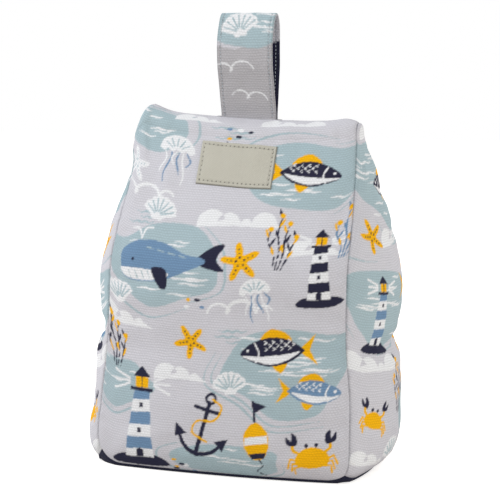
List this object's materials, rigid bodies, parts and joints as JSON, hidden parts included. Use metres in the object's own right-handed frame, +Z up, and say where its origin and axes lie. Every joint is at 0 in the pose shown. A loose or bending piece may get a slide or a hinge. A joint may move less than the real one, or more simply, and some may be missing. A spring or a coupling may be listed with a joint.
{
  "type": "weighted fabric door stop",
  "caption": "Weighted fabric door stop: a stuffed, sewn cloth wedge on a flat base, heavy at the bottom, with a strap loop in its top seam.",
  "frame": {"origin": "on the floor under the middle of the body", "axes": "+Z up to the strap loop, -Y out of the labelled front panel, +X to the right seen from the front"},
  "size_m": [0.1948, 0.1178, 0.2791],
  "materials": {
    "print_cloth": "matt woven cotton with a printed pattern",
    "strap_cloth": "matt woven cotton, folded and topstitched",
    "base_cloth": "matt plain dark cotton",
    "label_weave": "fine twill ribbon",
    "sand_pouch": "sealed pouch of dry sand",
    "fibre": "white polyester fibre"
  },
  "bodies": {
    "root": {"front_panel": "print_cloth", "back_panel": "print_cloth", "left_gusset": "print_cloth", "right_gusset": "print_cloth", "base_panel": "base_cloth", "carry_strap": "strap_cloth", "front_label": "label_weave", "weight_bag": "sand_pouch", "fibre_filling": "fibre"}
  },
  "joints": []
}
